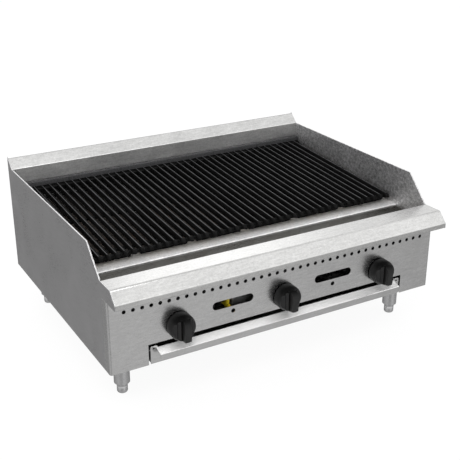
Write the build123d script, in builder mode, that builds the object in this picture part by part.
from build123d import *
import os
from math import asin, atan, cos, hypot, sin

# Counter-top gas charbroiler: folded stainless casing, three burners, a sloped
# cast-iron cooking grate in six lift-out sections, and a drip tray below.
# Millimetres. +Z up, the front faces -Y, +X is to the right for someone
# standing in front. The origin is at the centre of the footprint, on the
# surface that the feet stand on.
#
# Dimensions are in casing coordinates unless noted: x as in the world, y back
# from the control panel's face, z up from the casing's bottom edge.

os.makedirs("parts", exist_ok=True)

# ---------------------------------------------------------- main dimensions
WIDTH = 914.4            # 36 in over the side panels
DEPTH = 675.0            # front panel to back of casing
LEG_H = 101.6            # 4 in legs, floor to casing bottom
CASING_Y = -325.0        # world Y of the control panel's face
CASING_Z = LEG_H         # world Z of the casing's bottom edge

T_SHEET = 1.5            # casing sheet
T_LINER = 1.2            # liners, gutter and tray sheet
T_FRAME = 2.0            # base rails and grate rails

INNER_W = WIDTH - 2 * (T_SHEET + 0.1)   # sheets that fit between the side panels
CROSS_W = 910.8                         # cross members of the frame

TOP_Z = 290.5            # top edge of the side panels
CAP_Z = 317.8            # highest edge of the back guard
PANEL_Z = 183.8          # top of the control panel
RETURN = 25.0            # control panel's side returns

# corners that the side panels share with the ledge and the back guard, (y, z)
SPLASH_TOP = (99.5, TOP_Z)
LEDGE_NOSE = (-23.8, 223.0)
LEDGE_EDGE = (-48.8, 196.5)
GUARD_FRONT = (645.1, TOP_Z - 0.6)

KNOB_X = (-286.0, 0.0, 286.0)
KNOB_Z = 86.0            # knobs, valves and burners share this axis height
PILOT_X = (-143.0, 143.0)
PILOT_Z = 83.5

MAN_Y, MAN_Z = 38.0, 64.0     # manifold axis
PIPE_R, PIPE_BORE_R = 13.35, 10.5
SUPPLY_X = 425.0              # supply pipe along the right side

SCREW_X = (-430.0, -215.0, 0.0, 215.0, 400.0)
SCREW_HIGH_Z, SCREW_LOW_Z = 251.0, 12.5
SCREW_HOLE_R = 2.1
HIGH_SCREWS = [(x, SCREW_HIGH_Z) for x in SCREW_X]
LOW_SCREWS = [(x, SCREW_LOW_Z) for x in SCREW_X]

SIDES = (("left", -1), ("right", 1))
BURNERS = tuple(zip(KNOB_X, ("left", "center", "right")))


# ------------------------------------------------------------------- helpers
def world(x, y, z):
    """World point of a point in casing coordinates."""
    return (x, CASING_Y + y, CASING_Z + z)


def front_plane(y, x=0.0, z=0.0):
    """Upright plane across the casing: local (x, z), normal to the front."""
    return Plane(origin=world(x, y, z), x_dir=(1, 0, 0), z_dir=(0, -1, 0))


def side_plane(x, y=0.0, z=0.0):
    """Upright plane along the casing: local (y, z), normal to the right."""
    return Plane(origin=world(x, y, z), x_dir=(0, 1, 0), z_dir=(1, 0, 0))


def level_plane(z, x=0.0, y=0.0):
    """Horizontal plane: local (x, y), normal up."""
    return Plane(origin=world(x, y, z), x_dir=(1, 0, 0), z_dir=(0, 0, 1))


def nearest_vertex(sketch, point):
    """The vertex of a sketch builder nearest to a local 2D point."""
    return sketch.vertices().sort_by_distance((*point, 0))[0]


def sheet_outline(path, thickness):
    """Closed outline of a sheet to the left of the path, and its inner points."""
    directions = []
    for (u1, v1), (u2, v2) in zip(path, path[1:]):
        length = hypot(u2 - u1, v2 - v1)
        directions.append(((u2 - u1) / length, (v2 - v1) / length))
    inner = []
    for i, (u, v) in enumerate(path):
        adjoining = directions[max(i - 1, 0):i + 1]
        # mitre direction, scaled so that the offset from each run is the thickness
        mitre_u = -sum(dv for _, dv in adjoining)
        mitre_v = sum(du for du, _ in adjoining)
        run_u, run_v = adjoining[0]
        scale = thickness / (mitre_v * run_u - mitre_u * run_v)
        inner.append((u + mitre_u * scale, v + mitre_v * scale))
    return list(path) + inner[::-1], inner


def folded(plane, path, thickness, radius):
    """Section of a folded sheet: its outer face follows the path."""
    points, inner = sheet_outline(path, thickness)
    with BuildSketch(plane) as section:
        with BuildLine():
            Polyline(*points, close=True)
        make_face()
        for i in range(1, len(path) - 1):
            before, corner, after = path[i - 1:i + 2]
            turn = ((corner[0] - before[0]) * (after[1] - corner[1])
                    - (corner[1] - before[1]) * (after[0] - corner[0]))
            convex, concave = (corner, inner[i]) if turn > 0 else (inner[i], corner)
            fillet(nearest_vertex(section, convex), radius + thickness)
            fillet(nearest_vertex(section, concave), radius)
    return section.sketch


def save(builder, label):
    """Write one finished piece."""
    builder.part.label = label
    export_step(builder.part, f"parts/{label}.step")


# --------------------------------------------------------------- side panels
HEM_W, HEM_T = 10.0, 1.6
SPLASH_FOOT = (32.5, 222.5)

# (y, z)
SIDE_OUTLINE = [
    (RETURN + 0.2, 0), (DEPTH, 0), (DEPTH, CAP_Z), GUARD_FRONT, SPLASH_TOP,
    SPLASH_FOOT, LEDGE_NOSE, LEDGE_EDGE, (LEDGE_EDGE[0], PANEL_Z), (RETURN + 0.2, PANEL_Z),
]
SIDE_CORNER_RADII = ((LEDGE_NOSE, 9.0), (LEDGE_EDGE, 6.0), (SPLASH_FOOT, 3.0), (SPLASH_TOP, 5.0))
HEM_OUTLINE, _ = sheet_outline([(644.0, GUARD_FRONT[1]), SPLASH_TOP, (33.5, 223.5)], HEM_W)

for name, side in SIDES:
    with BuildPart() as side_panel:
        with BuildSketch(side_plane(side * WIDTH / 2)) as outline:
            with BuildLine():
                Polyline(*SIDE_OUTLINE, close=True)
            make_face()
            for corner, radius in SIDE_CORNER_RADII:
                fillet(nearest_vertex(outline, corner), radius)
        extrude(amount=-side * T_SHEET)
        # the top edge is folded back on itself
        with BuildSketch(side_plane(side * (WIDTH / 2 - T_SHEET))):
            with BuildLine():
                Polyline(*HEM_OUTLINE, close=True)
            make_face()
        extrude(amount=-side * HEM_T)
    save(side_panel, f"{name}_side_panel")

# ------------------------------------------------------ front control panel
TRAY_OPEN_HALF_W, TRAY_OPEN_H = 363.0, 52.3
PANEL_H = PANEL_Z - 0.2
PANEL_CORNER_R = 6.0
BOTTOM_FLANGE_W = 84.0
SLOT_Z, SLOT_LEN, SLOT_H = 104.5, 110.0, 21.0
PILOT_HOLE_Z, PILOT_HOLE_R = 81.7, 5.6
STEM_HOLE_R = 6.5
VENT_COUNT, VENT_PITCH, VENT_R, VENT_Z = 39, 22.0, 4.7, 150.4

with BuildPart() as front_panel:
    # U-shaped plan, drawn in world x and y
    with BuildSketch(Plane.XY.offset(CASING_Z)) as plan:
        with Locations((0, CASING_Y + RETURN / 2)):
            Rectangle(WIDTH, RETURN)
        fillet(plan.vertices().group_by(Axis.Y)[0], PANEL_CORNER_R)
        with BuildSketch(mode=Mode.SUBTRACT) as hollow:
            with Locations((0, CASING_Y + T_SHEET + RETURN / 2)):
                Rectangle(WIDTH - 2 * T_SHEET, RETURN)
            fillet(hollow.vertices().group_by(Axis.Y)[0], PANEL_CORNER_R - T_SHEET)
    extrude(amount=PANEL_H)
    # top flange, folded back under the ledge
    with BuildSketch(level_plane(PANEL_H - T_SHEET, y=9.0)):
        Rectangle(WIDTH - 12, 16.0)
    extrude(amount=T_SHEET)
    # bottom flanges beside the tray opening
    with BuildSketch(level_plane(0, y=8.0)):
        for side in (-1, 1):
            with Locations((side * (TRAY_OPEN_HALF_W + 3 + BOTTOM_FLANGE_W / 2), 0)):
                Rectangle(BOTTOM_FLANGE_W, 15.0)
    extrude(amount=T_SHEET)
    # stiffening fold over the tray opening
    with BuildSketch(level_plane(TRAY_OPEN_H, y=7.5)):
        Rectangle(2 * TRAY_OPEN_HALF_W + 12, 14.0)
    extrude(amount=T_SHEET)
    # openings through the face
    with BuildSketch(front_plane(-1.0)):
        with Locations((0, TRAY_OPEN_H / 2 - 1.0)):
            Rectangle(2 * TRAY_OPEN_HALF_W, TRAY_OPEN_H + 2.0)
        with Locations((0, VENT_Z)):
            with GridLocations(VENT_PITCH, 1, VENT_COUNT, 1):
                Circle(VENT_R)
        for x in PILOT_X:
            with Locations((x, SLOT_Z)):
                SlotOverall(SLOT_LEN, SLOT_H)
            with Locations((x, PILOT_HOLE_Z)):
                Circle(PILOT_HOLE_R)
        for x in KNOB_X:
            with Locations((x, KNOB_Z)):
                Circle(STEM_HOLE_R)
    extrude(amount=-(T_SHEET + 1.2), mode=Mode.SUBTRACT)
save(front_panel, "front_control_panel")

# -------------------------------------------------------------- front ledge
# (y, z) along the outer face
LEDGE_PATH = [
    (32.5, 166.0), (32.5, 222.4), LEDGE_NOSE, LEDGE_EDGE,
    (LEDGE_EDGE[0], PANEL_Z + 0.1), (15.0, PANEL_Z + 0.1),
]
LEDGE_RADII = (3.0, 9.0, 6.0, 2.0)      # outer radius of each fold

with BuildPart() as ledge:
    ledge_points, ledge_inner = sheet_outline(LEDGE_PATH, T_SHEET)
    with BuildSketch(side_plane(-INNER_W / 2)) as section:
        with BuildLine():
            Polyline(*ledge_points, close=True)
        make_face()
        for i, radius in enumerate(LEDGE_RADII, start=1):
            fillet(nearest_vertex(section, LEDGE_PATH[i]), radius)
            fillet(nearest_vertex(section, ledge_inner[i]), max(radius - T_SHEET, 0.6))
    extrude(amount=INNER_W)
save(ledge, "front_ledge")

# --------------------------------------------------------------- back guard
GUARD_PATH = [(DEPTH, 240.0), (DEPTH, CAP_Z), GUARD_FRONT, (GUARD_FRONT[0], 212.0)]

with BuildPart() as back_guard:
    extrude(folded(side_plane(-INNER_W / 2), GUARD_PATH, T_SHEET, 1.5), amount=INNER_W)
    with BuildSketch(front_plane(DEPTH + 1)):
        with Locations(*HIGH_SCREWS):
            Circle(SCREW_HOLE_R)
    extrude(amount=3.5, mode=Mode.SUBTRACT)
save(back_guard, "back_guard")

# --------------------------------------------------------------- rear panel
REAR_PANEL_Y = 673.3                     # rear face
REAR_PANEL_BOTTOM, REAR_PANEL_TOP = 1.6, 262.0
SUPPLY_HOLE_R = 15.0
LOUVRE_Z, LOUVRE_LEN, LOUVRE_H = 120.0, 70.0, 9.0
LOUVRE_PITCH_X, LOUVRE_PITCH_Z = 100.0, 24.0

with BuildPart() as rear_panel:
    with BuildSketch(front_plane(REAR_PANEL_Y)):
        with Locations((0, (REAR_PANEL_BOTTOM + REAR_PANEL_TOP) / 2)):
            Rectangle(INNER_W, REAR_PANEL_TOP - REAR_PANEL_BOTTOM)
        with Locations((SUPPLY_X, MAN_Z)):
            Circle(SUPPLY_HOLE_R, mode=Mode.SUBTRACT)
        # air louvre slots
        with Locations((0, LOUVRE_Z)):
            with GridLocations(LOUVRE_PITCH_X, LOUVRE_PITCH_Z, 7, 2):
                SlotOverall(LOUVRE_LEN, LOUVRE_H, mode=Mode.SUBTRACT)
        with Locations(*HIGH_SCREWS, *LOW_SCREWS):
            Circle(SCREW_HOLE_R, mode=Mode.SUBTRACT)
    extrude(amount=T_SHEET)
save(rear_panel, "rear_panel")

# --------------------------------------------------------------- base frame
RAIL_Y, RAIL_LEN = 17.0, 622.0
RAIL_W, RAIL_H = 89.4, 30.0
RAIL_X = (CROSS_W - RAIL_W) / 2
CHANNEL_Y1, CHANNEL_Y2, CHANNEL_H = 640.0, 671.6, 25.0

LEG_X = 400.0
LEG_Y = (78.0, 601.0)
BOLT_GRID = 48.0          # square of leg bolts
BOLT_HOLE_R = 4.25
LEG_SPOTS = [(side * LEG_X, y) for y in LEG_Y for side in (-1, 1)]
BOLT_SPOTS = [(x + dx, y + dy) for x, y in LEG_SPOTS
              for dx in (-BOLT_GRID / 2, BOLT_GRID / 2)
              for dy in (-BOLT_GRID / 2, BOLT_GRID / 2)]

for name, side in SIDES:
    with BuildPart() as base_rail:
        # U section, open at the top
        with BuildSketch(front_plane(RAIL_Y, x=side * RAIL_X)):
            with Locations((0, RAIL_H / 2)):
                Rectangle(RAIL_W, RAIL_H)
            with Locations((0, RAIL_H / 2 + T_FRAME)):
                Rectangle(RAIL_W - 2 * T_FRAME, RAIL_H, mode=Mode.SUBTRACT)
        extrude(amount=-RAIL_LEN)
        with BuildSketch(level_plane(-1)):
            with Locations(*[(x, y) for x, y in BOLT_SPOTS if x * side > 0]):
                Circle(BOLT_HOLE_R)
        extrude(amount=4.0, mode=Mode.SUBTRACT)
    save(base_rail, f"{name}_base_rail")

CHANNEL_PATH = [(CHANNEL_Y1, CHANNEL_H), (CHANNEL_Y1, 0.0),
                (CHANNEL_Y2, 0.0), (CHANNEL_Y2, CHANNEL_H)]
with BuildPart() as rear_channel:
    extrude(folded(side_plane(-CROSS_W / 2), CHANNEL_PATH, T_FRAME, 1.5), amount=CROSS_W)
    with BuildSketch(front_plane(CHANNEL_Y2 + 0.9)):
        with Locations(*LOW_SCREWS):
            Circle(SCREW_HOLE_R)
    extrude(amount=4.0, mode=Mode.SUBTRACT)
save(rear_channel, "rear_base_channel")

# (x, z, width, height) of each runner's flat strip and upright guide
RUNNER_STRIPS = ((354.5, 1.75, 22.6, 1.5), (365.0, 15.5, 1.6, 29.0))
with BuildPart() as runners:
    with BuildSketch(front_plane(RAIL_Y)):
        for side in (-1, 1):
            for x, z, width, height in RUNNER_STRIPS:
                with Locations((side * x, z)):
                    Rectangle(width, height)
    extrude(amount=-RAIL_LEN)
save(runners, "tray_runners")

# ------------------------------------------------------------ legs and feet
LEG_R, LEG_BORE_R = 19.05, 17.0
LEG_PLATE, LEG_PLATE_T, LEG_PLATE_R = 76.0, 3.0, 8.0
FOOT_R = 13.0
FOOT_NAMES = ("front_left_foot", "front_right_foot", "rear_left_foot", "rear_right_foot")

# tube with a chamfered lower end and a thick plug for the foot: (radius, z)
LEG_PROFILE = [
    (6.15, -76), (LEG_R - 2.2, -76), (LEG_R, -73.8), (LEG_R, -LEG_PLATE_T),
    (LEG_BORE_R, -LEG_PLATE_T), (LEG_BORE_R, -60), (6.15, -60),
]
# pad with a stem that goes up into the plug: (radius, height over the floor)
FOOT_PROFILE = [
    (0, 0), (FOOT_R - 2.5, 0), (FOOT_R, 2.5), (FOOT_R, 23.2), (FOOT_R - 2.0, 25.2),
    (6.1, 25.2), (6.1, 76.0), (5.2, 77.5), (0, 77.5),
]

with BuildPart() as legs:
    with BuildSketch(level_plane(-LEG_PLATE_T)):
        with Locations(*LEG_SPOTS):
            RectangleRounded(LEG_PLATE, LEG_PLATE, LEG_PLATE_R)
        with Locations(*BOLT_SPOTS):
            Circle(BOLT_HOLE_R, mode=Mode.SUBTRACT)
    extrude(amount=LEG_PLATE_T)
    for x, y in LEG_SPOTS:
        with BuildSketch(front_plane(y, x=x)):
            with BuildLine():
                Polyline(*LEG_PROFILE, close=True)
            make_face()
        revolve(axis=Axis(world(x, y, 0), (0, 0, 1)))
    # the tube's bore goes on through the plate
    with BuildSketch(level_plane(-LEG_PLATE_T - 1.0)):
        with Locations(*LEG_SPOTS):
            Circle(LEG_BORE_R)
    extrude(amount=5.0, mode=Mode.SUBTRACT)
save(legs, "legs")

for (x, y), name in zip(LEG_SPOTS, FOOT_NAMES):
    with BuildPart() as foot:
        with BuildSketch(front_plane(y, x=x, z=-LEG_H)):
            with BuildLine():
                Polyline(*FOOT_PROFILE, close=True)
            make_face()
        revolve(axis=Axis(world(x, y, 0), (0, 0, 1)))
    save(foot, name)

BOLT_R, BOLT_LEN = 4.0, 13.0
HEX_INNER_R = 6.5                # bolt heads and nuts, centre to flat
BOLT_HEAD_H, NUT_H = 5.3, 6.3
with BuildPart() as leg_bolts:
    with BuildSketch(level_plane(-LEG_PLATE_T - BOLT_HEAD_H)):
        with Locations(*BOLT_SPOTS):
            RegularPolygon(HEX_INNER_R, 6, major_radius=False)
    extrude(amount=BOLT_HEAD_H)
    with BuildSketch(level_plane(-LEG_PLATE_T)):
        with Locations(*BOLT_SPOTS):
            Circle(BOLT_R)
    extrude(amount=BOLT_LEN)
    with BuildSketch(level_plane(T_FRAME)):
        with Locations(*BOLT_SPOTS):
            RegularPolygon(HEX_INNER_R, 6, major_radius=False)
    extrude(amount=NUT_H)
save(leg_bolts, "leg_bolts")

# ------------------------------------------------------------------ firebox
BAFFLE_W = 809.6
BAFFLE_Y1, BAFFLE_Y2 = 150.0, 610.0      # front faces of the two baffles
FRONT_BAFFLE_BOTTOM, FRONT_BAFFLE_TOP = 52.0, 183.2
LINER_BOTTOM = 40.0
GRATE_RAIL_Z = 216.6                     # top of the rear grate rail
REAR_BAFFLE_TOP = GRATE_RAIL_Z - 2.2
BURNER_HOLE_R, PILOT_TUBE_HOLE_R = 23.0, 4.5

with BuildPart() as front_baffle:
    with BuildSketch(front_plane(BAFFLE_Y1 + T_LINER)):
        with Locations((0, (FRONT_BAFFLE_BOTTOM + FRONT_BAFFLE_TOP) / 2)):
            Rectangle(BAFFLE_W, FRONT_BAFFLE_TOP - FRONT_BAFFLE_BOTTOM)
        with Locations(*[(x, KNOB_Z) for x in KNOB_X]):
            Circle(BURNER_HOLE_R, mode=Mode.SUBTRACT)
        with Locations(*[(x, PILOT_Z) for x in PILOT_X]):
            Circle(PILOT_TUBE_HOLE_R, mode=Mode.SUBTRACT)
    extrude(amount=T_LINER)
save(front_baffle, "firebox_front_baffle")

with BuildPart() as rear_baffle:
    with BuildSketch(front_plane(BAFFLE_Y2 + T_LINER)):
        with Locations((0, (LINER_BOTTOM + REAR_BAFFLE_TOP) / 2)):
            Rectangle(BAFFLE_W, REAR_BAFFLE_TOP - LINER_BOTTOM)
    extrude(amount=T_LINER)
save(rear_baffle, "firebox_rear_baffle")

LINER_Y1, LINER_Y2 = BAFFLE_Y1 + T_LINER + 0.1, BAFFLE_Y2 - 0.1
LINER_X, LINER_H = 405.6, 138.0
LINER_TOP_X, LINER_TOP_W = 429.6, 48.4   # level strips outside the liners
LINER_TOP_Y1, LINER_TOP_Z = 216.0, 176.8
with BuildPart() as liners:
    for side in (-1, 1):
        with BuildSketch(level_plane(LINER_BOTTOM)):
            with Locations((side * LINER_X, (LINER_Y1 + LINER_Y2) / 2)):
                Rectangle(T_LINER, LINER_Y2 - LINER_Y1)
        extrude(amount=LINER_H)
        with BuildSketch(level_plane(LINER_TOP_Z)):
            with Locations((side * LINER_TOP_X, (LINER_TOP_Y1 + LINER_Y2) / 2)):
                Rectangle(LINER_TOP_W, LINER_Y2 - LINER_TOP_Y1)
        extrude(amount=T_LINER)
save(liners, "firebox_side_liners")

SHELF_Z = 185.4
SHELF_PATH = [(215.0, 178.6), (215.0, SHELF_Z), (143.0, SHELF_Z), (143.0, 160.0)]
with BuildPart() as grate_shelf:
    extrude(folded(side_plane(-CROSS_W / 2), SHELF_PATH, T_FRAME, 1.0), amount=CROSS_W)
save(grate_shelf, "front_grate_shelf")

GRATE_RAIL_PATH = [(643.5, GRATE_RAIL_Z), (598.0, GRATE_RAIL_Z), (598.0, GRATE_RAIL_Z - 24.8)]
with BuildPart() as grate_rail:
    extrude(folded(side_plane(-CROSS_W / 2), GRATE_RAIL_PATH, T_FRAME, 1.5), amount=CROSS_W)
save(grate_rail, "rear_grate_rail")

# grease gutter with two drain spouts over the drip tray
GUTTER_W, GUTTER_Z = 907.0, 160.0
GUTTER_PATH = [(34.2, 214.0), (34.2, GUTTER_Z), (141.8, GUTTER_Z), (141.8, 182.0)]
SPOUT_SPOTS = ((-215.0, 90.0), (215.0, 90.0))
SPOUT_R, SPOUT_BORE_R, SPOUT_Z = 12.5, 11.2, 48.0
with BuildPart() as gutter:
    extrude(folded(side_plane(-GUTTER_W / 2), GUTTER_PATH, T_LINER, 2.0), amount=GUTTER_W)
    # end plates
    for x in (-GUTTER_W / 2, GUTTER_W / 2 - T_LINER):
        with BuildSketch(side_plane(x, y=88.0, z=171.0)):
            Rectangle(106.8, 21.2)
        extrude(amount=T_LINER)
    with BuildSketch(level_plane(SPOUT_Z)):
        with Locations(*SPOUT_SPOTS):
            Circle(SPOUT_R)
    extrude(amount=GUTTER_Z - SPOUT_Z + 0.5)
    with BuildSketch(level_plane(SPOUT_Z - 1.0)):
        with Locations(*SPOUT_SPOTS):
            Circle(SPOUT_BORE_R)
    extrude(amount=116.0, mode=Mode.SUBTRACT)
save(gutter, "grease_gutter")

# ------------------------------------------------------- cooking grate sections
SECTIONS, BARS, BAR_PITCH = 6, 7, 21.6
SECTION_W = BARS * BAR_PITCH
SECTION_GAP = 0.4         # clearance on each side of a section
RIB_OFFSET = -4.5         # rib from the middle of its pitch
GRATE_Y, GRATE_Z = 170.0, 213.0     # front end of the rib tops
GRATE_SLOPE = atan(0.0535)          # rises to the rear
BAR_LEN = 462.0
GRATE_END = 469.0         # rear face of the rear wall
WALL_T = 8.0
WALL_H = 12.5             # rear wall above the rib tops
REAR_RAIL_W = 20.0
TIE_Y = (45.0, 236.0, 418.0)        # ties under the bars, along the slope
FOOT_SIDE = 26.0          # section's width less that of its feet
FRONT_FOOT_Y, REAR_FOOT_Y = 193.0, 620.0
TRIM_W = 40.0

# One bar: a narrow rib beside a grease channel with a low lip.
# (x across the grate, height over the rib's top)
BAR_PROFILE = [
    (-1.4, 0.0), (1.4, 0.0), (2.1, -10.5), (3.4, -13.0), (7.6, -13.0), (8.8, -8.6),
    (11.0, -8.6), (11.2, -14.5), (8.6, -18.0), (0.6, -18.0), (-2.2, -13.0),
]

# square to the bars, its normal forward and down the slope
bar_plane = Plane(origin=world(0, GRATE_Y, GRATE_Z), x_dir=(1, 0, 0),
                  z_dir=(0, -cos(GRATE_SLOPE), -sin(GRATE_SLOPE)))
# through the rib tops, local (x, distance back along the slope), normal up
top_plane = Plane(origin=world(0, GRATE_Y, GRATE_Z), x_dir=(1, 0, 0),
                  z_dir=(0, -sin(GRATE_SLOPE), cos(GRATE_SLOPE)))

for k in range(SECTIONS):
    section_x = (k - (SECTIONS - 1) / 2) * SECTION_W
    rib_x = [section_x + (i - (BARS - 1) / 2) * BAR_PITCH + RIB_OFFSET for i in range(BARS)]
    with BuildPart() as grate:
        with BuildSketch(bar_plane):
            for x in rib_x:
                with BuildLine():
                    Polyline(*[(x + u, v) for u, v in BAR_PROFILE], close=True)
                make_face()
        extrude(amount=-BAR_LEN)
        # rear cross rail and the wall that stands on it
        with BuildSketch(top_plane.offset(-16.0)):
            with Locations((section_x, GRATE_END - REAR_RAIL_W / 2)):
                Rectangle(SECTION_W - 2 * SECTION_GAP, REAR_RAIL_W)
        extrude(amount=12.5)
        with BuildSketch(top_plane.offset(-8.0)):
            with Locations((section_x, GRATE_END - WALL_T / 2)):
                Rectangle(SECTION_W - 2 * SECTION_GAP, WALL_T)
        extrude(amount=8.0 + WALL_H)
        # bars are cut back underneath at the front
        with BuildSketch(top_plane.offset(-30.0)):
            with Locations((section_x, -8.0)):
                Rectangle(SECTION_W + 30, 28.0)
        extrude(amount=18.0, mode=Mode.SUBTRACT)
        # front cross rail and the rounded nose of each bar
        with BuildSketch(top_plane.offset(-18.0)):
            with Locations((section_x, 11.0)):
                Rectangle(SECTION_W - 2 * SECTION_GAP, 10.0)
        extrude(amount=9.0)
        for x in rib_x:
            with BuildSketch(top_plane.offset(-12.0)):
                with Locations((x + 3.6, -2.0)):
                    Circle(6.6)
            with BuildSketch(top_plane.offset(-1.5)):
                with Locations((x + 1.2, 0.4)):
                    Circle(3.8)
            loft()
        # ties under the bars
        with BuildSketch(top_plane.offset(-20.0)):
            with Locations(*[(section_x, y) for y in TIE_Y]):
                Rectangle(SECTION_W - 6, 11.0)
        extrude(amount=6.0)
        # feet on the front shelf and on the rear rail
        with BuildSketch(level_plane(SHELF_Z + 0.05, x=section_x, y=FRONT_FOOT_Y)):
            Rectangle(SECTION_W - FOOT_SIDE, 8.0)
        extrude(amount=12.5)
        with BuildSketch(level_plane(GRATE_RAIL_Z + 0.05, x=section_x, y=REAR_FOOT_Y)):
            Rectangle(SECTION_W - FOOT_SIDE, 16.0)
        extrude(amount=4.5)
        # outer bars keep inside the section's own width
        trim_x = SECTION_W / 2 - SECTION_GAP + TRIM_W / 2
        with BuildSketch(top_plane.offset(-30.0)):
            with Locations((section_x - trim_x, 200), (section_x + trim_x, 200)):
                Rectangle(TRIM_W, 700)
        extrude(amount=50.0, mode=Mode.SUBTRACT)
    save(grate, f"grate_section_{k + 1}")

# ----------------------------------------------------------------- radiants
RADIANT_Y, RADIANT_LEN = 170.0, 426.0
RADIANT_MID_Y = RADIANT_Y + RADIANT_LEN / 2
RADIANT_SLOT_X = (-80.0, -40.0, 40.0, 80.0)
RADIANT_SLOT_LEN, RADIANT_SLOT_W, RADIANT_SLOT_PITCH = 34.0, 9.0, 56.0

# roof-shaped section: (x from the burner's axis, z)
RADIANT_PROFILE = [
    (-112, 128), (-106, 128), (0, 153), (106, 128),
    (112, 128), (112, 133), (0, 159.5), (-112, 133),
]

for burner_x, name in BURNERS:
    with BuildPart() as radiant:
        with BuildSketch(front_plane(RADIANT_Y, x=burner_x)):
            with BuildLine():
                Polyline(*RADIANT_PROFILE, close=True)
            make_face()
        extrude(amount=-RADIANT_LEN)
        with BuildSketch(level_plane(120, x=burner_x, y=RADIANT_MID_Y)):
            for x in RADIANT_SLOT_X:
                with Locations((x, 0)):
                    with GridLocations(1, RADIANT_SLOT_PITCH, 1, 7):
                        SlotOverall(RADIANT_SLOT_LEN, RADIANT_SLOT_W, rotation=90)
        extrude(amount=50.0, mode=Mode.SUBTRACT)
    save(radiant, f"{name}_radiant")

SUPPORT_W, SUPPORT_Z, SUPPORT_BOTTOM = 809.0, 127.9, 108.0
FRONT_SUPPORT_PATH = [(190.0, SUPPORT_Z), (151.4, SUPPORT_Z), (151.4, SUPPORT_BOTTOM)]
REAR_SUPPORT_PATH = [(609.8, SUPPORT_BOTTOM), (609.8, SUPPORT_Z), (576.0, SUPPORT_Z)]
with BuildPart() as radiant_supports:
    for path in (FRONT_SUPPORT_PATH, REAR_SUPPORT_PATH):
        extrude(folded(side_plane(-SUPPORT_W / 2), path, T_FRAME, 1.0), amount=SUPPORT_W)
save(radiant_supports, "radiant_supports")

# ------------------------------------------------------------------ burners
MIXER_Y, MIXER_LEN = 78.0, 307.0
MIXER_R, MIXER_BORE_R = 19.0, 16.0
FLANGE_Y, FLANGE_T, FLANGE_R = 144.0, 5.9, 29.0
CROSS_Y, CROSS_R, CROSS_BORE_R = 385.0, 17.0, 13.5
FIRED_X = 70.0            # fired legs on each side of the mixing tube
FIRED_LEN, FIRED_R = 380.0, 16.5
FIRED_BORE_LEN, FIRED_BORE_R = 372.0, 12.5
PIN_LEN, PIN_R = 34.9, 6.0
PORT_COUNT, PORT_PITCH, PORT_R = 16, 22.0, 2.0
WINDOW_Y, WINDOW_LEN = 89.0, 12.0        # air windows, their middle and length
WINDOW_CUT = 50.0                        # cut across tube and shutter
SHUTTER_Y, SHUTTER_PLATE_T = 74.5, 3.0
SHUTTER_R, SHUTTER_BORE_R = 21.5, 19.06

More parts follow.
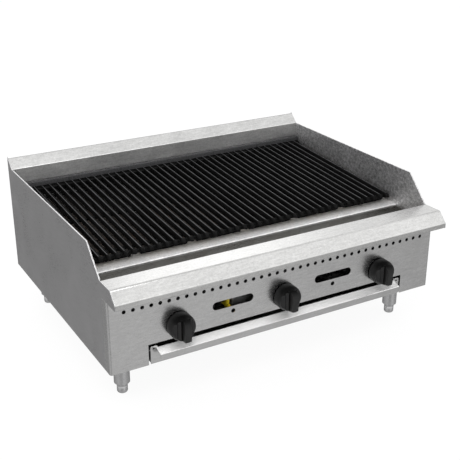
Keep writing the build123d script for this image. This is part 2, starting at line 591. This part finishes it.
for burner_x, name in BURNERS:
    with BuildPart() as burner:
        # mixing tube
        with BuildSketch(front_plane(MIXER_Y, x=burner_x, z=KNOB_Z)):
            Circle(MIXER_R)
        extrude(amount=-MIXER_LEN)
        # flange against the front baffle
        with BuildSketch(front_plane(FLANGE_Y, x=burner_x, z=KNOB_Z)):
            Circle(FLANGE_R)
        extrude(amount=-FLANGE_T)
        # cross tube and the two fired legs
        with BuildSketch(side_plane(burner_x - FIRED_X, y=CROSS_Y, z=KNOB_Z)):
            Circle(CROSS_R)
        extrude(amount=2 * FIRED_X)
        with BuildSketch(front_plane(CROSS_Y - FIRED_LEN / 2, x=burner_x, z=KNOB_Z)):
            with Locations((-FIRED_X, 0), (FIRED_X, 0)):
                Circle(FIRED_R)
        extrude(amount=-FIRED_LEN)
        # locating pins at the back
        with BuildSketch(front_plane(CROSS_Y + FIRED_LEN / 2, x=burner_x, z=KNOB_Z)):
            with Locations((-FIRED_X, 0), (FIRED_X, 0)):
                Circle(PIN_R)
        extrude(amount=-PIN_LEN)
        # gas passages
        with BuildSketch(front_plane(MIXER_Y - 1.0, x=burner_x, z=KNOB_Z)):
            Circle(MIXER_BORE_R)
        extrude(amount=-320.0, mode=Mode.SUBTRACT)
        with BuildSketch(side_plane(burner_x - FIRED_X, y=CROSS_Y, z=KNOB_Z)):
            Circle(CROSS_BORE_R)
        extrude(amount=2 * FIRED_X, mode=Mode.SUBTRACT)
        with BuildSketch(front_plane(CROSS_Y - FIRED_BORE_LEN / 2, x=burner_x, z=KNOB_Z)):
            with Locations((-FIRED_X, 0), (FIRED_X, 0)):
                Circle(FIRED_BORE_R)
        extrude(amount=-FIRED_BORE_LEN, mode=Mode.SUBTRACT)
        # burner ports along the top of each leg
        with BuildSketch(level_plane(KNOB_Z, x=burner_x, y=CROSS_Y)):
            for x in (-FIRED_X, FIRED_X):
                with Locations((x, 0)):
                    with GridLocations(1, PORT_PITCH, 1, PORT_COUNT):
                        Circle(PORT_R)
        extrude(amount=20.0, mode=Mode.SUBTRACT)
        # primary air windows in the mouth of the tube
        with BuildSketch(side_plane(burner_x - WINDOW_CUT / 2, y=WINDOW_Y, z=KNOB_Z)):
            Rectangle(WINDOW_LEN, 14.0)
        extrude(amount=WINDOW_CUT, mode=Mode.SUBTRACT)
    save(burner, f"{name}_burner")

    # rotating air shutter round the mouth of the mixing tube
    with BuildPart() as shutter:
        with BuildSketch(front_plane(SHUTTER_Y, x=burner_x, z=KNOB_Z)):
            Circle(SHUTTER_R)
            Circle(7.5, mode=Mode.SUBTRACT)
        extrude(amount=-SHUTTER_PLATE_T)
        with BuildSketch(front_plane(SHUTTER_Y + SHUTTER_PLATE_T, x=burner_x, z=KNOB_Z)):
            Circle(SHUTTER_R)
            Circle(SHUTTER_BORE_R, mode=Mode.SUBTRACT)
        extrude(amount=-22.5)
        with BuildSketch(side_plane(burner_x - WINDOW_CUT / 2, y=WINDOW_Y, z=KNOB_Z)):
            Rectangle(WINDOW_LEN, 13.0)
        extrude(amount=WINDOW_CUT, mode=Mode.SUBTRACT)
        # finger tab
        with BuildSketch(front_plane(96.0, x=burner_x, z=KNOB_Z + 25.0)):
            Rectangle(8.0, 9.0)
        extrude(amount=-2.0)
    save(shutter, f"{name}_air_shutter")

# ---------------------------------------------------------------- gas train
MAN_X1, MAN_LEN = -420.0, 824.8
COLLAR_R = 16.5           # manifold's left cap and the elbow bead
with BuildPart() as manifold:
    with BuildSketch(side_plane(MAN_X1, y=MAN_Y, z=MAN_Z)):
        Circle(PIPE_R)
    extrude(amount=MAN_LEN)
    # cap on the left end
    with BuildSketch(side_plane(MAN_X1 - 7.0, y=MAN_Y, z=MAN_Z)):
        Circle(COLLAR_R)
    extrude(amount=15.0)
    with BuildSketch(side_plane(MAN_X1 + 2.0, y=MAN_Y, z=MAN_Z)):
        Circle(PIPE_BORE_R)
    extrude(amount=MAN_LEN, mode=Mode.SUBTRACT)
    # holes for the burner valves and the pilot valves
    with BuildSketch(level_plane(MAN_Z, y=MAN_Y)):
        with Locations(*[(x, 0) for x in KNOB_X]):
            Circle(5.05)
        with Locations(*[(x, 0) for x in PILOT_X]):
            Circle(3.05)
    extrude(amount=16.0, mode=Mode.SUBTRACT)
save(manifold, "gas_manifold")

SUPPLY_X1, SUPPLY_Y2 = 405.0, 700.5      # left end and rear end of the pipe
SUPPLY_BEND_R = 17.0
STUB_R, STUB_LEN = 12.6, 20.0            # gas inlet stub outside the rear panel
with BuildPart() as supply:
    with BuildLine():
        FilletPolyline(world(SUPPLY_X1, MAN_Y, MAN_Z), world(SUPPLY_X, MAN_Y, MAN_Z),
                       world(SUPPLY_X, SUPPLY_Y2, MAN_Z), radius=SUPPLY_BEND_R)
    with BuildSketch(side_plane(SUPPLY_X1, y=MAN_Y, z=MAN_Z)):
        Circle(PIPE_R)
    sweep()
    # elbow bead and the lock nut inside the rear panel
    with BuildSketch(front_plane(58.0, x=SUPPLY_X, z=MAN_Z)):
        Circle(COLLAR_R)
    extrude(amount=-9.0)
    with BuildSketch(front_plane(663.0, x=SUPPLY_X, z=MAN_Z)):
        RegularPolygon(18.0, 6, major_radius=False)
    extrude(amount=-8.6)
    # the bore runs out past both ends
    with BuildLine() as bore_path:
        FilletPolyline(world(SUPPLY_X1 - 1, MAN_Y, MAN_Z), world(SUPPLY_X, MAN_Y, MAN_Z),
                       world(SUPPLY_X, SUPPLY_Y2 + 1, MAN_Z), radius=SUPPLY_BEND_R)
    with BuildSketch(side_plane(SUPPLY_X1 - 1, y=MAN_Y, z=MAN_Z)):
        Circle(PIPE_BORE_R)
    sweep(path=bore_path.line, mode=Mode.SUBTRACT)
    # the inlet stub is turned down over its last length
    with BuildSketch(front_plane(SUPPLY_Y2 - STUB_LEN, x=SUPPLY_X, z=MAN_Z)):
        Circle(20.0)
        Circle(STUB_R, mode=Mode.SUBTRACT)
    extrude(amount=-(STUB_LEN + 1.0), mode=Mode.SUBTRACT)
save(supply, "gas_supply_pipe")

BRACKET_X, BRACKET_W = 394.5, 16.0
with BuildPart() as brackets:
    for side in (-1, 1):
        with BuildSketch(side_plane(side * BRACKET_X - BRACKET_W / 2)):
            # ring round the pipe, upright behind it and foot
            with Locations((MAN_Y, MAN_Z)):
                Circle(16.4)
            with Locations((53.0, 35.0)):
                Rectangle(3.0, 65.8)
            with Locations((48.0, 3.1)):
                Rectangle(13.0, 2.0)
            with Locations((MAN_Y, MAN_Z)):
                Circle(PIPE_R + 0.05, mode=Mode.SUBTRACT)
        extrude(amount=BRACKET_W)
save(brackets, "manifold_brackets")

VALVE_POST_Z = 72.0       # lower end of the valve posts in the manifold
STEM_R, STEM_BORE_R = 4.0, 4.05
GAS_WAY_R = 2.0
for burner_x, name in BURNERS:
    with BuildPart() as valve:
        with BuildSketch(level_plane(77.6, x=burner_x, y=37.0)) as block:
            Rectangle(22.0, 32.0)
            fillet(block.vertices(), 3.0)
        extrude(amount=20.0)
        # post into the manifold, front nose and rear outlet
        with BuildSketch(level_plane(VALVE_POST_Z, x=burner_x, y=MAN_Y)):
            Circle(5.0)
        extrude(amount=6.0)
        with BuildSketch(front_plane(9.0, x=burner_x, z=KNOB_Z)):
            Circle(8.2)
        extrude(amount=-13.0)
        with BuildSketch(front_plane(52.0, x=burner_x, z=KNOB_Z)):
            Circle(6.5)
        extrude(amount=-8.0)
        # stem bore and gas way
        with BuildSketch(front_plane(8.0, x=burner_x, z=KNOB_Z)):
            Circle(STEM_BORE_R)
        extrude(amount=-31.0, mode=Mode.SUBTRACT)
        with BuildSketch(front_plane(30.0, x=burner_x, z=KNOB_Z)):
            Circle(GAS_WAY_R)
        extrude(amount=-32.0, mode=Mode.SUBTRACT)
        with BuildSketch(level_plane(VALVE_POST_Z - 1.0, x=burner_x, y=MAN_Y + 2.0)):
            Circle(GAS_WAY_R)
        extrude(amount=15.0, mode=Mode.SUBTRACT)
    save(valve, f"{name}_burner_valve")

HOOD_Y, HOOD_HEX_LEN, HOOD_TIP_Y = 60.1, 8.0, 80.0
with BuildPart() as hoods:
    with BuildSketch(front_plane(HOOD_Y, z=KNOB_Z)):
        with Locations(*[(x, 0) for x in KNOB_X]):
            RegularPolygon(6.5, 6, major_radius=False)
    extrude(amount=-HOOD_HEX_LEN)
    # tapered tips
    for x in KNOB_X:
        with BuildSketch(front_plane(HOOD_Y + HOOD_HEX_LEN, x=x, z=KNOB_Z)):
            Circle(5.5)
        with BuildSketch(front_plane(HOOD_TIP_Y, x=x, z=KNOB_Z)):
            Circle(3.0)
        loft()
    # orifices
    with BuildSketch(front_plane(60.0, z=KNOB_Z)):
        with Locations(*[(x, 0) for x in KNOB_X]):
            Circle(1.2)
    extrude(amount=-21.0, mode=Mode.SUBTRACT)
save(hoods, "orifice_hoods")

# ---------------------------------------------------- control knobs and stems
STEM_REAR_Y, STEM_FRONT_Y = 37.0, -32.0
KNOB_R = 32.0
KNOB_BACK_Y, SKIRT_Y, GRIP_Y = -2.5, -24.0, -50.5   # back, skirt front, grip front
HOLLOW_Y = -2.4           # cuts start just behind the knob's back
HOLLOW_R, HUB_R = 28.5, 8.5
GRIP_END_R, GRIP_W = 26.5, 15.0
FLUTE_X, FLUTE_R = 7.9, 1.3
FLUTE_Z = (-15, -10, -5, 0, 5, 10, 15)

for burner_x, name in BURNERS:
    with BuildPart() as stem:
        with BuildSketch(front_plane(STEM_REAR_Y, x=burner_x, z=KNOB_Z)):
            Circle(STEM_R)
        extrude(amount=STEM_REAR_Y - STEM_FRONT_Y)
        # flat that drives the knob
        with BuildSketch(front_plane(-6.0, x=burner_x, z=KNOB_Z + 4.9)):
            Rectangle(10.0, 4.0)
        extrude(amount=30.0, mode=Mode.SUBTRACT)
    save(stem, f"{name}_valve_stem")

    with BuildPart() as knob:
        # skirt
        with BuildSketch(front_plane(KNOB_BACK_Y, x=burner_x, z=KNOB_Z)):
            Circle(KNOB_R)
        extrude(amount=KNOB_BACK_Y - SKIRT_Y)
        fillet(knob.faces().sort_by(Axis.Y)[0].edges(), 3.0)
        # grip bar with ends that follow the skirt's circle
        with BuildSketch(front_plane(SKIRT_Y + 0.5, x=burner_x, z=KNOB_Z)):
            Circle(GRIP_END_R)
            Rectangle(GRIP_W, 60.0, mode=Mode.INTERSECT)
        extrude(amount=SKIRT_Y - GRIP_Y + 0.5)
        fillet(knob.faces().sort_by(Axis.Y)[0].edges(), 1.6)
        # flutes in both sides of the grip
        with BuildSketch(front_plane(SKIRT_Y, x=burner_x, z=KNOB_Z)):
            for side in (-1, 1):
                with Locations(*[(side * FLUTE_X, z) for z in FLUTE_Z]):
                    Circle(FLUTE_R)
        extrude(amount=22.0, mode=Mode.SUBTRACT)
        # hollow back with a hub for the stem
        with BuildSketch(front_plane(HOLLOW_Y, x=burner_x, z=KNOB_Z)):
            Circle(HOLLOW_R)
            Circle(HUB_R, mode=Mode.SUBTRACT)
        extrude(amount=17.0, mode=Mode.SUBTRACT)
        with BuildSketch(front_plane(HOLLOW_Y, x=burner_x, z=KNOB_Z)):
            Circle(STEM_BORE_R)
        extrude(amount=30.0, mode=Mode.SUBTRACT)
    save(knob, f"{name}_knob")

# ------------------------------------------------------------------- pilots
PILOT_VALVE_Y, PILOT_VALVE_LEN, PILOT_VALVE_R = 16.0, 32.0, 5.9
FITTING_Y, FITTING_R, FITTING_HEX_R = 27.0, 6.2, 6.6
for x, (name, side) in zip(PILOT_X, SIDES):
    with BuildPart() as pilot_valve:
        with BuildSketch(front_plane(PILOT_VALVE_Y, x=x, z=PILOT_Z)):
            Circle(PILOT_VALVE_R)
        extrude(amount=-PILOT_VALVE_LEN)
        with BuildSketch(level_plane(VALVE_POST_Z, x=x, y=MAN_Y)):
            Circle(3.0)
        extrude(amount=8.0)
        if side < 0:
            # upright test fitting on the left valve
            with BuildSketch(level_plane(PILOT_Z, x=x, y=FITTING_Y)):
                Circle(FITTING_R)
            extrude(amount=16.5)
            with BuildSketch(level_plane(PILOT_Z + 16.0, x=x, y=FITTING_Y)):
                RegularPolygon(FITTING_HEX_R, 6, major_radius=False)
            extrude(amount=14.0)
        # hole for the adjusting screw
        with BuildSketch(front_plane(PILOT_VALVE_Y - 1.0, x=x, z=PILOT_Z)):
            Circle(2.55)
        extrude(amount=-10.0, mode=Mode.SUBTRACT)
    save(pilot_valve, f"{name}_pilot_valve")

    with BuildPart() as pilot_screw:
        # shank, head and driver slot
        with BuildSketch(front_plane(24.0, x=x, z=PILOT_Z)):
            Circle(2.5)
        extrude(amount=9.0)
        with BuildSketch(front_plane(15.9, x=x, z=PILOT_Z)):
            Circle(4.2)
        extrude(amount=4.0)
        with BuildSketch(front_plane(13.4, x=x, z=PILOT_Z)):
            Rectangle(10.0, 1.2)
        extrude(amount=3.0, mode=Mode.SUBTRACT)
    save(pilot_screw, f"{name}_pilot_screw")

PILOT_TUBE_Y1, PILOT_TUBE_Y2, PILOT_TUBE_TOP = 48.1, 235.0, 104.0
with BuildPart() as pilot_burners:
    for x in PILOT_X:
        # tube back from the valve and up into a cup
        with BuildLine() as tube_path:
            FilletPolyline(world(x, PILOT_TUBE_Y1, PILOT_Z), world(x, PILOT_TUBE_Y2, PILOT_Z),
                           world(x, PILOT_TUBE_Y2, PILOT_TUBE_TOP), radius=12.0)
        with BuildSketch(front_plane(PILOT_TUBE_Y1, x=x, z=PILOT_Z)):
            Circle(3.0)
        sweep(path=tube_path.line)
        with BuildSketch(level_plane(101.0, x=x, y=PILOT_TUBE_Y2)):
            Circle(6.5)
        extrude(amount=14.0)
        with BuildSketch(level_plane(106.0, x=x, y=PILOT_TUBE_Y2)):
            Circle(4.8)
        extrude(amount=10.0, mode=Mode.SUBTRACT)
save(pilot_burners, "pilot_burners")

# sheet bracket beside the left pilot valve, bent in plan: (x, y)
PILOT_BRACKET_PATH = [(-133.0, 44.0), (-133.0, 24.0), (-48.0, 24.0), (-48.0, 36.0)]
with BuildPart() as pilot_bracket:
    extrude(folded(level_plane(79.0), PILOT_BRACKET_PATH, T_LINER, 2.0), amount=40.0)
save(pilot_bracket, "pilot_bracket")

# ---------------------------------------------------------------- drip tray
TRAY_W, TRAY_LEN = 714.0, 630.0
TRAY_Y, TRAY_Z, TRAY_H = 2.2, 2.8, 33.2
TRAY_CORNER_R = 8.0
RIM_W = 4.0               # rim beyond the walls
TRAY_TOP = TRAY_Z + TRAY_H
with BuildPart() as tray:
    with BuildSketch(level_plane(TRAY_Z, y=TRAY_Y + TRAY_LEN / 2)) as floor:
        Rectangle(TRAY_W, TRAY_LEN)
        fillet(floor.vertices().group_by(Axis.Y)[-1], TRAY_CORNER_R)
    extrude(amount=TRAY_H)
    with BuildSketch(level_plane(TRAY_TOP - T_LINER, y=TRAY_Y + (TRAY_LEN + RIM_W) / 2)) as rim:
        Rectangle(TRAY_W + 2 * RIM_W, TRAY_LEN + RIM_W)
        fillet(rim.vertices().group_by(Axis.Y)[-1], TRAY_CORNER_R + RIM_W)
    extrude(amount=T_LINER)
    with BuildSketch(level_plane(TRAY_Z + T_LINER, y=TRAY_Y + TRAY_LEN / 2)) as well:
        Rectangle(TRAY_W - 2 * T_LINER, TRAY_LEN - 2 * T_LINER)
        fillet(well.vertices(), TRAY_CORNER_R - T_LINER)
    extrude(amount=40.0, mode=Mode.SUBTRACT)
save(tray, "drip_tray_pan")

FACE_Y = 2.1                     # rear side of the tray's front sheet
PULL_W = 686.0
PULL_Y, PULL_Z = -22.0, 33.0     # front fold of the pull flange
PULL_ROOT_Y = 0.8                # where the flange runs into the front sheet
LIP_Z = 16.5                     # lower edge of the flange's lip
DISH_R, DISH_SLOPE = 85.0, 0.157     # dish radius and its slope at the fold, radians
DISH_Y = PULL_Y - DISH_R * sin(DISH_SLOPE)
DISH_Z = PULL_Z + DISH_R * cos(DISH_SLOPE)
DISH_UNDER_R = DISH_R + T_SHEET
LIP_CUT = 14.0                   # square and circle that round the lip's corners


def dish_point(radius, angle):
    """(y, z) on an arc about the dish's centre, angle from straight down."""
    return (DISH_Y + radius * sin(angle), DISH_Z - radius * cos(angle))


def dish_angle(radius, y):
    """Angle at which such an arc reaches y."""
    return asin((y - DISH_Y) / radius)


root = dish_angle(DISH_R, PULL_ROOT_Y)
upper_arc = [dish_point(DISH_R, angle)
             for angle in (root, (root + DISH_SLOPE) / 2, DISH_SLOPE)]
under_root = dish_angle(DISH_UNDER_R, PULL_ROOT_Y)
under_fold = dish_angle(DISH_UNDER_R, PULL_Y + T_SHEET)
under_arc = [dish_point(DISH_UNDER_R, angle)
             for angle in (under_fold, (under_root + under_fold) / 2, under_root)]
lip_front, lip_rear = (PULL_Y, LIP_Z), (PULL_Y + T_SHEET, LIP_Z)

with BuildPart() as tray_front:
    with BuildSketch(front_plane(FACE_Y)):
        with Locations((0, 20.4)):
            Rectangle(716.0, 39.2)
        for side in (-1, 1):
            # ear at the top corner
            with Locations((side * 349.0, 40.5)):
                RectangleRounded(18.0, 9.0, 3.5)
            # relief notch beside the ear, and the hole in it
            with Locations((side * 337.5, 39.0)):
                Rectangle(4.5, 4.0, mode=Mode.SUBTRACT)
            with Locations((side * 350.0, 38.5)):
                Circle(2.6, mode=Mode.SUBTRACT)
    extrude(amount=T_SHEET)
    # dished pull flange with a turned-down lip
    with BuildSketch(side_plane(-PULL_W / 2)) as flange:
        with BuildLine():
            ThreePointArc(*upper_arc)
            Line(upper_arc[-1], lip_front)
            Line(lip_front, lip_rear)
            Line(lip_rear, under_arc[0])
            ThreePointArc(*under_arc)
            Line(under_arc[-1], upper_arc[0])
        make_face()
        fillet(nearest_vertex(flange, upper_arc[-1]), 2.2)
        fillet(nearest_vertex(flange, under_arc[0]), 0.8)
    extrude(amount=PULL_W)
    # lower corners of the lip are rounded
    with BuildSketch(front_plane(-15.0)):
        for side in (-1, 1):
            with Locations((side * PULL_W / 2, LIP_Z)):
                Rectangle(LIP_CUT, LIP_CUT)
            with Locations((side * (PULL_W - LIP_CUT) / 2, LIP_Z + LIP_CUT / 2)):
                Circle(LIP_CUT / 2, mode=Mode.SUBTRACT)
    extrude(amount=10.0, mode=Mode.SUBTRACT)
save(tray_front, "drip_tray_front")

# ---------------------------------------------------------- casing screws
SCREW_R, SCREW_LEN = 2.0, 11.0
SCREW_HEAD_R, SCREW_HEAD_H = 4.2, 2.4
RECESS_LEN, RECESS_W = 5.0, 0.9
with BuildPart() as screws:
    for spots, seat_y in ((HIGH_SCREWS, DEPTH), (LOW_SCREWS, 673.35)):
        with BuildSketch(front_plane(seat_y)):
            with Locations(*spots):
                Circle(SCREW_HEAD_R)
        extrude(amount=-SCREW_HEAD_H)
        with BuildSketch(front_plane(seat_y)):
            with Locations(*spots):
                Circle(SCREW_R)
        extrude(amount=SCREW_LEN)
        # cross recess
        with BuildSketch(front_plane(seat_y + 2.6)):
            with Locations(*spots):
                Rectangle(RECESS_LEN, RECESS_W)
                Rectangle(RECESS_W, RECESS_LEN)
        extrude(amount=1.4, mode=Mode.SUBTRACT)
save(screws, "casing_screws")
